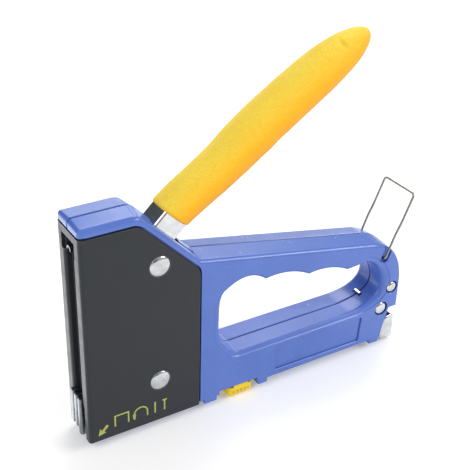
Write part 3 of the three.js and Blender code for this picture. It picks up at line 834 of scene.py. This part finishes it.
def recess_cutter():
    """Deep channel down the cover's front, with rounded shoulders along its sides."""
    turns = [math.pi / 2 * i / 6 for i in range(7)]
    shoulder = [(WEB_SHOULDER * (1 - math.cos(t)), WEB_SHOULDER * (1 - math.sin(t))) for t in turns]
    rings = []
    for x, grow in ((-2, WEB_SHOULDER), *shoulder, (WEB_DEPTH, 0)):
        half = WEB_HALF + grow
        rings.append([(x, a, b) for a, b in rectangle(-half, half, WEB_LOW - 4, WEB_HIGH)])
    return loft("recess", rings)


def cover():
    """Folded sheet: rounded front bends, deep recess, window and guide opening."""
    outside = HALF_WIDTH
    inside = HALF_WIDTH - COVER_SHEET
    inner_bend = COVER_BEND - 1
    rear = 70
    bent = [
        (rear, -outside, 0), (rear, -inside, 0),
        (COVER_SHEET, -inside, inner_bend), (COVER_SHEET, inside, inner_bend),
        (rear, inside, 0), (rear, outside, 0), (0, outside, COVER_BEND), (0, -outside, COVER_BEND),
    ]
    sheet = prism_z("nose_cover_sheet", rounded(bent), -2, 110)
    side = cover_corners(0)
    levels = [(-15, 0.3), (-outside, 0.3), (-outside + 0.12, 0.1), (-outside + 0.35, 0)]
    levels += mirrored(levels)
    combine(sheet, [loft("side", [across_y(rounded(side, inset), y) for y, inset in levels])], "INTERSECT")
    tray_half = WEB_HALF + COVER_SHEET
    tray = rectangle(-tray_half, tray_half, WEB_LOW - 1, WEB_HIGH - 0.5)
    # Painted shade: the hood is a black pocket put behind the window so that the window looks dark; real
    # shade inside the pocket adds to it.
    hood_half, hood_top, hood_rear, hood_sheet = 7.6, 105.4, 5.3, 0.6
    hood = rectangle(-hood_half, hood_half, WEB_HIGH - hood_sheet, hood_top)
    combine(sheet, [
        prism_x("tray", tray, 0.9, WEB_DEPTH + 0.6),
        prism_x("hood", hood, 1, hood_rear),
    ], "UNION")
    window_foot = WEB_HIGH - 0.1
    window = [(-6.4, window_foot, 0.6), (7.4, window_foot, 0.6), (7, 104, 0.8), (-6.4, 104, 0.8)]
    opening = [(-7, -4, 0), (7, -4, 0), (7, WEB_LOW, 2.4), (-7, WEB_LOW + 0.6, 2.4)]
    cutters = [
        recess_cutter(),
        prism_x("window", rounded(window), -2, 2),
        block("hood_inside", 1.6, 4.9, -7, 7, WEB_HIGH, 104.9),
        prism_x("guide_opening", rounded(opening), -2, 6),
    ]
    seat_depth = 0.25
    seat = [
        (-15, BIG_HEAD + 0.2), (-outside, BIG_HEAD + 0.2),
        (-outside + seat_depth, BIG_HEAD), (-outside + seat_depth, 2.4),
    ]
    seat += mirrored(seat)
    for centre in (PIVOT, FRONT_RIVET):
        cutters.append(turned("rivet_seat", centre, [(radius, y) for y, radius in seat]))
    combine(sheet, cutters)
    smooth(sheet, 20)
    finish_piece(sheet, "black_steel", "body", "nose_cover")


def guide_rib(y0, y1, foot_z):
    """Broad rib with a rolled front, narrower at its foot and its top."""
    middle, half = (y0 + y1) / 2, (y1 - y0) / 2
    back, roll = 4.4, 0.9
    levels = [
        (foot_z, 0.3), (foot_z + 0.3, 0), (RIB_TOP - 0.9, 0), (RIB_TOP - 0.25, 0.3), (RIB_TOP, 0.9),
    ]
    rings = []
    for z, inset in levels:
        ring = [(back, middle - half + inset, z), (back, middle + half - inset, z)]
        for i in range(9):
            turn = math.pi / 2 - math.pi * i / 8
            front = RIB_FRONT + inset + roll * (1 - math.cos(turn))
            ring.append((front, middle + (half - inset) * math.sin(turn), z))
        rings.append(ring)
    return loft("rib", rings)


def guide_tongue():
    """Half a ring from side to side, which shows in the cover's window."""
    middle_y, middle_z = TONGUE
    front, back = 0.7, 2.2
    half_width, height, inner = 2.1, 2.2, 1.4
    rings = []
    for i in range(13):
        turn = math.pi * i / 12
        y, z = middle_y + half_width * math.cos(turn), middle_z + height * math.sin(turn)
        inner_y, inner_z = middle_y + inner * math.cos(turn), middle_z + inner * math.sin(turn)
        rings.append([(front, y, z), (back, y, z), (back, inner_y, inner_z), (front, inner_y, inner_z)])
    return loft("tongue", rings)


def guide():
    """Plate behind the cover, with ribs at its foot and a curled tongue at its top."""
    front = GUIDE_BACK - 0.65
    corners = [(front, 0, 0), (GUIDE_BACK, 0, 0.3), (GUIDE_BACK, GUIDE_TOP, 0.3), (front, GUIDE_TOP, 0)]
    plate = slab_y("nose_guide_plate", corners, GUIDE_HALF, 0.2)
    y, z = TONGUE
    combine(plate, [
        *[guide_rib(*rib) for rib in RIBS],
        guide_tongue(),
        block("crown", 2, GUIDE_BACK - 0.1, y - 0.8, y + 0.8, z + 1.5, z + 2.1),
        block("stem", 4.3, GUIDE_BACK - 0.1, y - 2, y + 2, GUIDE_TOP - 2, z + 2.5),
    ], "UNION")
    smooth(plate)
    finish_piece(plate, "guide_steel", "body", "nose_guide")


def catch_lip():
    """Tip of the magazine catch in the floor of the finger opening."""
    front, back, foot_z, top = 159.1, 160.5, 20, 27.6
    corners = [(front, foot_z, 0), (back, foot_z, 0), (back, top, 0.3), (front, top - 0.4, 0.3)]
    lip = slab_y("catch_lip", corners, 2.3, 0.2)
    smooth(lip)
    dress(lip, "rivet_chrome")
    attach(lip, "body")


def strip(name, line, width, y0, y1):
    """A flat strip of one width along an open line in x and z."""
    path = [Vector(p) for p in line]
    left, right = [], []
    for i, point in enumerate(path):
        before = (point - path[i - 1]).normalized() if i else None
        after = (path[i + 1] - point).normalized() if i < len(path) - 1 else None
        along = ((before or after) + (after or before)).normalized()
        across = Vector((-along.y, along.x)) * width / 2 / max(0.4, along.dot(after or before))
        left.append(point + across)
        right.append(point - across)
    return prism_y(name, [tuple(p) for p in left + right[::-1]], y0, y1)


def marks():
    """Printed signs: an arrow, and what the tool drives: flat and round staples, a brad and a T-nail."""
    y0, y1 = -HALF_WIDTH - 0.05, -HALF_WIDTH + 0.1
    staple_foot = 5.4
    arch_middle, arch_half, arch_spring, arch_rise = 26, 3.4, 8.4, 3.1
    turns = [math.pi * i / 12 for i in range(13)]
    arch = [
        (arch_middle - arch_half, staple_foot), (arch_middle - arch_half, arch_spring),
        *[(arch_middle - arch_half * math.cos(t), arch_spring + arch_rise * math.sin(t)) for t in turns],
        (arch_middle + arch_half, staple_foot),
    ]
    made = strip(
        "printed_signs", [(12.8, staple_foot), (12.8, 11.4), (19.6, 11.4), (19.6, staple_foot)],
        SIGN_LINE, y0, y1,
    )
    lines = [
        arch, [(33.4, 5.2), (33.4, 11.6)], [(38.4, 5.2), (38.4, 10.9)], [(37.3, 11.1), (39.6, 11.1)],
    ]
    combine(made, [
        *[strip("sign", line, SIGN_LINE, y0, y1) for line in lines],
        strip("arrow_shaft", [(9, 7.8), (6.4, 5.2)], 2 * SIGN_LINE, y0, y1),
        prism_y("arrow_head", [(4.3, 3.2), (8.1, 4), (5.1, 7)], y0, y1),
    ], "UNION")
    paint(made, printed_ink())
    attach(made, "body")


# ---------------- rivets


def rivet(name, node, centre, head, shank=1.9, under=10.3, wall=0.2, rise=1.4, dimple=0.0):
    """Heads on both sides from y = under: a low wall, a dome, and a dimple from the setting tool."""
    dimple_radius = 0.9
    half = []
    steps = 12
    for i in range(steps + 1):
        share = math.sin(math.pi / 2 * i / steps)
        dome = rise * math.sqrt(max(0.0, 1 - share ** 2))
        dent = dimple * math.exp(-((share * head / dimple_radius) ** 2))
        half.append((-under - wall - dome + dent, share * head))
    half += [(-under, head), (-under, shank)]
    half += mirrored(half)
    made = turned(name, centre, [(radius, y) for y, radius in half])
    smooth(made)
    finish_piece(made, "rivet_chrome", "body", node)


def rivets():
    big = {"head": BIG_HEAD, "shank": 2.3, "under": 10.95, "wall": 0.05}
    rivet("pivot_rivet", "lever_pivot_rivet", PIVOT, **big)
    rivet("nose_rivet", "front_rivet", FRONT_RIVET, **big)
    rivet("upper_rear_rivet", "rear_upper_rivet", UPPER_RIVET, UPPER_HEAD)
    rivet("lower_rear_rivet", "rear_lower_rivet", LOWER_RIVET, LOWER_HEAD, rise=1.2, dimple=0.45)


# ---------------- lever


CORE_END = 0.78           # share of the grip where the steel core inside it ends
CORE_BENDS = [0, 0, 0, 0, 1, 1, 1, 0]    # which sides of the core have a rounded bend


def core_corners(margin, start=20):
    """Side outline of the steel inside the foam, from start along the shank, grown by the margin."""
    return [(*p, 0) for p in (
        on_shank(start, SHANK_LOW - margin),
        on_shank(29, SHANK_LOW - margin),
        on_grip(0.4, -5 - margin),
        on_grip(CORE_END, -4 - margin),
        on_grip(CORE_END + margin / 90, 4 + margin),
        on_grip(0.4, 5 + margin),
        on_shank(28.5, SHANK_HIGH - 0.6 + margin),
        on_shank(start, SHANK_HIGH + margin),
    )]


def eye(name, centre, radius, half, edge):
    """Round eye right across the lever, with bevelled edges."""
    profile = [(-half, radius - edge), (-half + edge, radius)]
    return turned(name, centre, [(r, y) for y, r in profile + mirrored(profile)])


def lever():
    """Folded channel: rounded bends along its top, two cheeks, pivot eyes and lift arms."""
    half = LEVER_HALF
    shank = [
        (*on_shank(-2, SHANK_LOW), 0.5), (*on_shank(23, SHANK_LOW), 0), (*on_shank(23, SHANK_HIGH), 0),
        (*on_shank(3, SHANK_HIGH), 3), (*on_shank(-4, 5), 2),
    ]
    made = slab_y("lever_sheet", shank, half, 1.5, [0.15, 0, 1, 0.4, 0.15])
    arm = [
        (LIFT_PIN[0] + 1, LIFT_PIN[1] - 3, 0), (PIVOT[0] + 2, PIVOT[1] - 5.5, 0),
        (PIVOT[0] - 2, PIVOT[1] + 5.5, 0), (LIFT_PIN[0] - 1, LIFT_PIN[1] + 3, 0),
    ]
    combine(made, [
        slab_y("core", core_corners(0), half, 1.8, CORE_BENDS),
        eye("eye", PIVOT, 6, half, 0.4),
        prism_y("arm", rounded(arm), -half, half),
        eye("pin_eye", LIFT_PIN, 3.1, half, 0.3),
    ], "UNION")
    inner = half - LEVER_SHEET
    web = LEVER_SHEET
    below = -20
    hollow = [(*p, 0) for p in (
        on_shank(-30, below), on_shank(32, below), on_grip(0.9, -16), on_grip(0.9, 4 - web),
        on_grip(0.4, 5 - web), on_shank(28.5, SHANK_HIGH - 0.6 - web), on_shank(-30, SHANK_HIGH - web),
    )]
    combine(made, [
        prism_y("hollow", rounded(hollow), -inner, inner),
        bar("pivot_hole", PIVOT, 2.8, -8, 8),
        bar("pin_hole", LIFT_PIN, 2.1, -8, 8),
    ])
    smooth(made)
    finish_piece(made, "lever_chrome", "lever", "lever_channel")


def grip_radius(share):
    """Radius of the foam along the grip, which swells in the middle and narrows to a blunt tip."""
    swell = GRIP_RADIUS + GRIP_SWELL * math.sin(math.pi * min(share / 1.1, 1))
    taper = max(0.0, (share - TAPER_START) / (1 - TAPER_START))
    return swell * math.sqrt(max(0.0, 1 - taper ** 2.9))


def hump(value, middle, width):
    """A smooth hump that is 1 at the middle."""
    return math.exp(-((value - middle) / width) ** 2)


def foam_relief(station, angle, spot):
    """How far the foam's skin stands off its plain form, in mm. The angle is 0 on the upper side."""
    above = (1 + math.cos(angle)) / 2
    below = 1 - above
    soft = noise.noise(spot * 0.11) * 0.22 + noise.noise(spot * 0.45) * 0.07
    crumb = noise.noise(spot * 2.1) * 0.05
    near_tip = max(0.0, (station - 0.86) / 0.14)
    pucker = -0.16 * near_tip * abs(math.sin(7 * angle + 2 * noise.noise(spot * 0.3)))
    sag = 0.9 * below * hump(station, 0.3, 0.16)
    waist = -1.45 * above * hump(station, 0.235, 0.12)
    crease = -1.1 * hump(station, 0.865, 0.009) * hump(angle, 5.6, 0.35)
    tuck = -0.75 * below ** 4 * hump(station, 0, 0.09)
    return soft + crumb + pucker + sag + waist + crease + tuck


def foam_stations():
    """Shares of the grip's length, and how much smaller its radius is there: first the rolled mouth."""
    stations = []
    for i in range(9):
        turn = math.pi / 2 * i / 8
        stations.append((MOUTH_ROLL * (1 - math.cos(turn)) / GRIP_LENGTH, MOUTH_ROLL * (1 - math.sin(turn))))
    rows = 210
    mouth_end = 0.0106
    for i in range(1, rows):
        stations.append((mouth_end + (1 - mouth_end) * math.sin(math.pi / 2 * i / rows), 0.0))
    return stations


def foam_grip():
    """Foam sleeve: rolled and slanting mouth, soft swells, and puckers at its closed tip."""
    sides = 120
    rings = []
    for station, lip in foam_stations():
        radius = grip_radius(station) - lip
        near_mouth = max(0.0, 1 - station / 0.3) ** 2
        ring = []
        for k in range(sides):
            angle = 2 * math.pi * k / sides
            above = (1 + math.cos(angle)) / 2
            share = station + (MOUTH_RISE - MOUTH_LEAN * above ** 0.8) * near_mouth
            x, z = on_grip(share, radius * math.cos(angle))
            spot = Vector((x, radius * math.sin(angle), z))
            skin = radius + foam_relief(station, angle, spot) * min(1.0, radius / 6)
            x, z = on_grip(share, skin * math.cos(angle))
            ring.append((x, skin * math.sin(angle), z))
        rings.append(ring)
    made = loft("foam_sleeve", rings)
    pocket = core_corners(POCKET_GAP, start=15)
    combine(made, [slab_y("pocket", pocket, LEVER_HALF + POCKET_GAP, 1.7, CORE_BENDS)])
    smooth(made, 60)
    finish_piece(made, "yellow_foam", "lever", "foam_grip")


# ---------------- rear latch, bail and slide


def latch():
    """Bent cap on the magazine's end: two cheeks joined by a curved rear face."""
    side = [
        (179.7, -3, 1.4), (179.3, 11.4, 1.6), (173, 10.3, 2.6), (171.1, 6.4, 1.4), (171.1, -2.9, 1.2),
    ]
    made = slab_y("rear_latch_cap", side, LATCH_HALF, 0.9, [1, 0.35, 0.35, 0.35, 0.35])
    inner = [(178.7, -6, 0), (178.4, 14, 0), (165, 14, 0), (165, -6, 0)]
    inner_half = LATCH_HALF - LATCH_SHEET
    combine(made, [prism_y("inside", rounded(inner), -inner_half, inner_half)])
    smooth(made)
    finish_piece(made, "rivet_chrome", "latch", "rear_latch")


def bent_path(points, corner, steps=8):
    """A path through points with its corners rounded by a curve of that reach."""
    points = [Vector(p) for p in points]
    path = [points[0]]
    for i in range(1, len(points) - 1):
        here = points[i]
        back = here + (points[i - 1] - here).normalized() * corner
        ahead = here + (points[i + 1] - here).normalized() * corner
        for k in range(steps + 1):
            t = k / steps
            path.append(back * (1 - t) ** 2 + here * 2 * t * (1 - t) + ahead * t * t)
    path.append(points[-1])
    return path


def bail():
    """Wire loop: a turned-in foot, a kinked arm, the top bar, and the same back down."""
    def arm(side):
        return [
            (BAIL_PIVOT[0], side * 9.4, BAIL_PIVOT[1]), (BAIL_PIVOT[0], side * BAIL_HALF, BAIL_PIVOT[1]),
            (171.4, side * BAIL_HALF, 64.6), (174.4, side * BAIL_HALF, 70.4),
            (BAIL_TOP[0], side * BAIL_HALF, BAIL_TOP[1]),
        ]
    made = tube("wire_bail_wire", bent_path(arm(-1) + arm(1)[::-1], BAIL_CORNER), BAIL_WIRE)
    smooth(made, 60)
    finish_piece(made, "spring_steel", "bail", "wire_bail")


def slide():
    """Ribbed thumb slide with rounded ends."""
    x0, x1 = RELEASE_X
    z0, z1 = RELEASE_Z
    side = [(x0, z0, 2), (x1, z0, 2), (x1, z1, 0.4), (x0, z1, 0.4)]
    made = slab_y("release_slide_body", side, RELEASE_HALF, 0.9, [1, 1, 0.3, 1])
    plan = rectangle(x0, x1, -RELEASE_HALF, RELEASE_HALF, RELEASE_END)
    combine(made, [prism_z("plan", plan, -9, 9)], "INTERSECT")
    lugs = [block("lug", x0 + RELEASE_END, x1 - RELEASE_END, y0, y0 + 3.3, 1, 3.4) for y0 in (-10.7, 7.4)]
    combine(made, lugs, "UNION")
    cutters = []
    for i in range(RELEASE_RIBS):
        x = x0 + RELEASE_END + i * RELEASE_PITCH
        cutters.append(bar("rib_gap", (x, z0), 0.85, -14, 14))
        for y in (-RELEASE_HALF, RELEASE_HALF):
            cutters.append(prism_z("side_gap", circle((x, y), 0.75, 24), z0 - 1, 0.3))
    combine(made, cutters)
    smooth(made, 40)
    finish_piece(made, "yellow_plastic", "release", "release_slide")


# ---------------- carried-over CAD nodes

# The inner nodes that are shown as they are: width of their edge bevel in mm, and material.
CARRIED = {
    "lift_pin": (0.3, "spring_steel"),
    "lever_return_spring": (0, "spring_steel"),
    "driver_blade": (0.2, "guide_steel"),
    "striker": (0.25, "spring_steel"),
    "power_spring": (0, "spring_steel"),
    "spring_seat": (0.2, "spring_steel"),
    "striker_bumper": (0.5, "bumper_rubber"),
    "magazine_channel": (0.2, "magazine_steel"),
    "staple_strip": (0.12, "magazine_steel"),
    "staple_pusher": (0.25, "spring_steel"),
    "pusher_rail": (0.2, "magazine_steel"),
    "pusher_spring": (0, "spring_steel"),
    "latch_pin": (0.2, "spring_steel"),
    "magazine_catch": (0.15, "rivet_chrome"),
}


def carried_nodes():
    """Gives the inner CAD nodes their materials and rounded edges."""
    for name, (width, slot) in CARRIED.items():
        node = frame["nodes"][name]
        node.data.materials.clear()
        node.data.materials.append(MATERIALS[slot])
        if width:
            soften(node, width)
        node.data.shade_smooth()
        node.data.set_sharp_from_angle(angle=math.radians(40))


# ---------------- stage


def camera():
    """The photo's viewpoint, solved from the edges of the head and the places of the rivets."""
    made = add("camera", bpy.data.cameras.new("camera"))
    made.location = (-0.12967, -0.32928, 0.30577)
    made.rotation_euler = [math.radians(a) for a in (60.183, -1.598, -31.357)]
    made.data.lens = 74.025
    made.data.sensor_width = 36
    made.data.clip_start = 0.01
    made.data.clip_end = 50
    bpy.context.scene.camera = made


def area_light(name, location, target, size, power):
    """A soft light in row metres and watts, which faces its target."""
    light = bpy.data.lights.new(name, "AREA")
    light.shape = "RECTANGLE"
    light.size, light.size_y = size
    light.energy = power
    made = add(name, light)
    made.location = location
    made.rotation_euler = (Vector(target) - Vector(location)).to_track_quat("-Z", "Y").to_euler()
    return made


def world():
    """Plain white surroundings."""
    made = bpy.data.worlds.new("studio")
    bpy.context.scene.world = made
    made.use_nodes = True
    background = made.node_tree.nodes["Background"]
    background.inputs["Color"].default_value = (1, 1, 1, 1)
    background.inputs["Strength"].default_value = 0.52


def sheet_of(name, half, height=0.0):
    """A flat square for the stage, in row metres."""
    mesh = bpy.data.meshes.new(name)
    corners = [(x * half, y * half, height) for x, y in ((-1, -1), (1, -1), (1, 1), (-1, 1))]
    mesh.from_pydata(corners, [], [(0, 1, 2, 3)])
    return add(name, mesh)


CARD_CENTRE = (0.05, 0, 0.08)     # what the dark cards stand round


def dark_card(towards, distance, size):
    """A dark card beside the set, which bright metal reflects. The camera doesn't see it."""
    towards = Vector(towards).normalized()
    made = sheet_of("dark_card", size / 2)
    made.location = Vector(CARD_CENTRE) + towards * distance
    made.rotation_euler = towards.to_track_quat("Z", "Y").to_euler()
    made.visible_camera = False
    cloth = Surface("black_card", Roughness=0.9)
    shades = [(0.3, (0.05, 0.055, 0.06, 1)), (0.7, (0.07, 0.075, 0.08, 1))]
    cloth.set("Base Color", cloth.ramp(cloth.noise(8, 2), shades))
    made.data.materials.append(cloth.material)


def floor():
    """Pale floor just under the object, with a faint glow that lightens the shadow."""
    reach = 4.0
    height = cad_bounds[0].z - 0.0002
    made = sheet_of("floor", reach, height)
    pale = Surface("pale_floor", Roughness=0.9, Emission_Color=(1, 1, 1, 1), Emission_Strength=0.2)
    shades = [(0.3, (0.9, 0.9, 0.9, 1)), (0.7, (0.92, 0.92, 0.92, 1))]
    pale.set("Base Color", pale.ramp(pale.noise(60, 2), shades))
    made.data.materials.append(pale.material)


def stage():
    """Camera, surroundings and soft studio lights."""
    camera()
    world()
    floor()
    middle = (0.08, 0, 0.07)
    dark_card((-0.48, 0.74, 0.47), 1.1, 0.95)
    dark_card((-0.1, -0.95, 0.22), 0.9, 0.4)
    area_light("key", (0.94, -0.62, 0.66), (0.1, 0, 0.07), (0.7, 0.3), 6.5)
    area_light("over", (0.69, 0.66, 1.01), middle, (0.75, 0.55), 6.2)
    area_light("left", (-0.75, -0.2, 0.85), middle, (0.7, 0.7), 4.4)
    area_light("back", (0.73, 1.26, 0.52), middle, (1.2, 0.5), 3.6)
    bounce = (-0.05, 0.11)
    just_above = cad_bounds[0].z + 0.0002
    under = area_light("under", (*bounce, just_above), (*bounce, 1), (0.12, 0.2), 0.13)
    under.visible_camera = False
    bpy.context.scene.view_settings.view_transform = "Standard"


stage()
body_shells()
cover()
guide()
catch_lip()
marks()
rivets()
lever()
foam_grip()
latch()
bail()
slide()
carried_nodes()
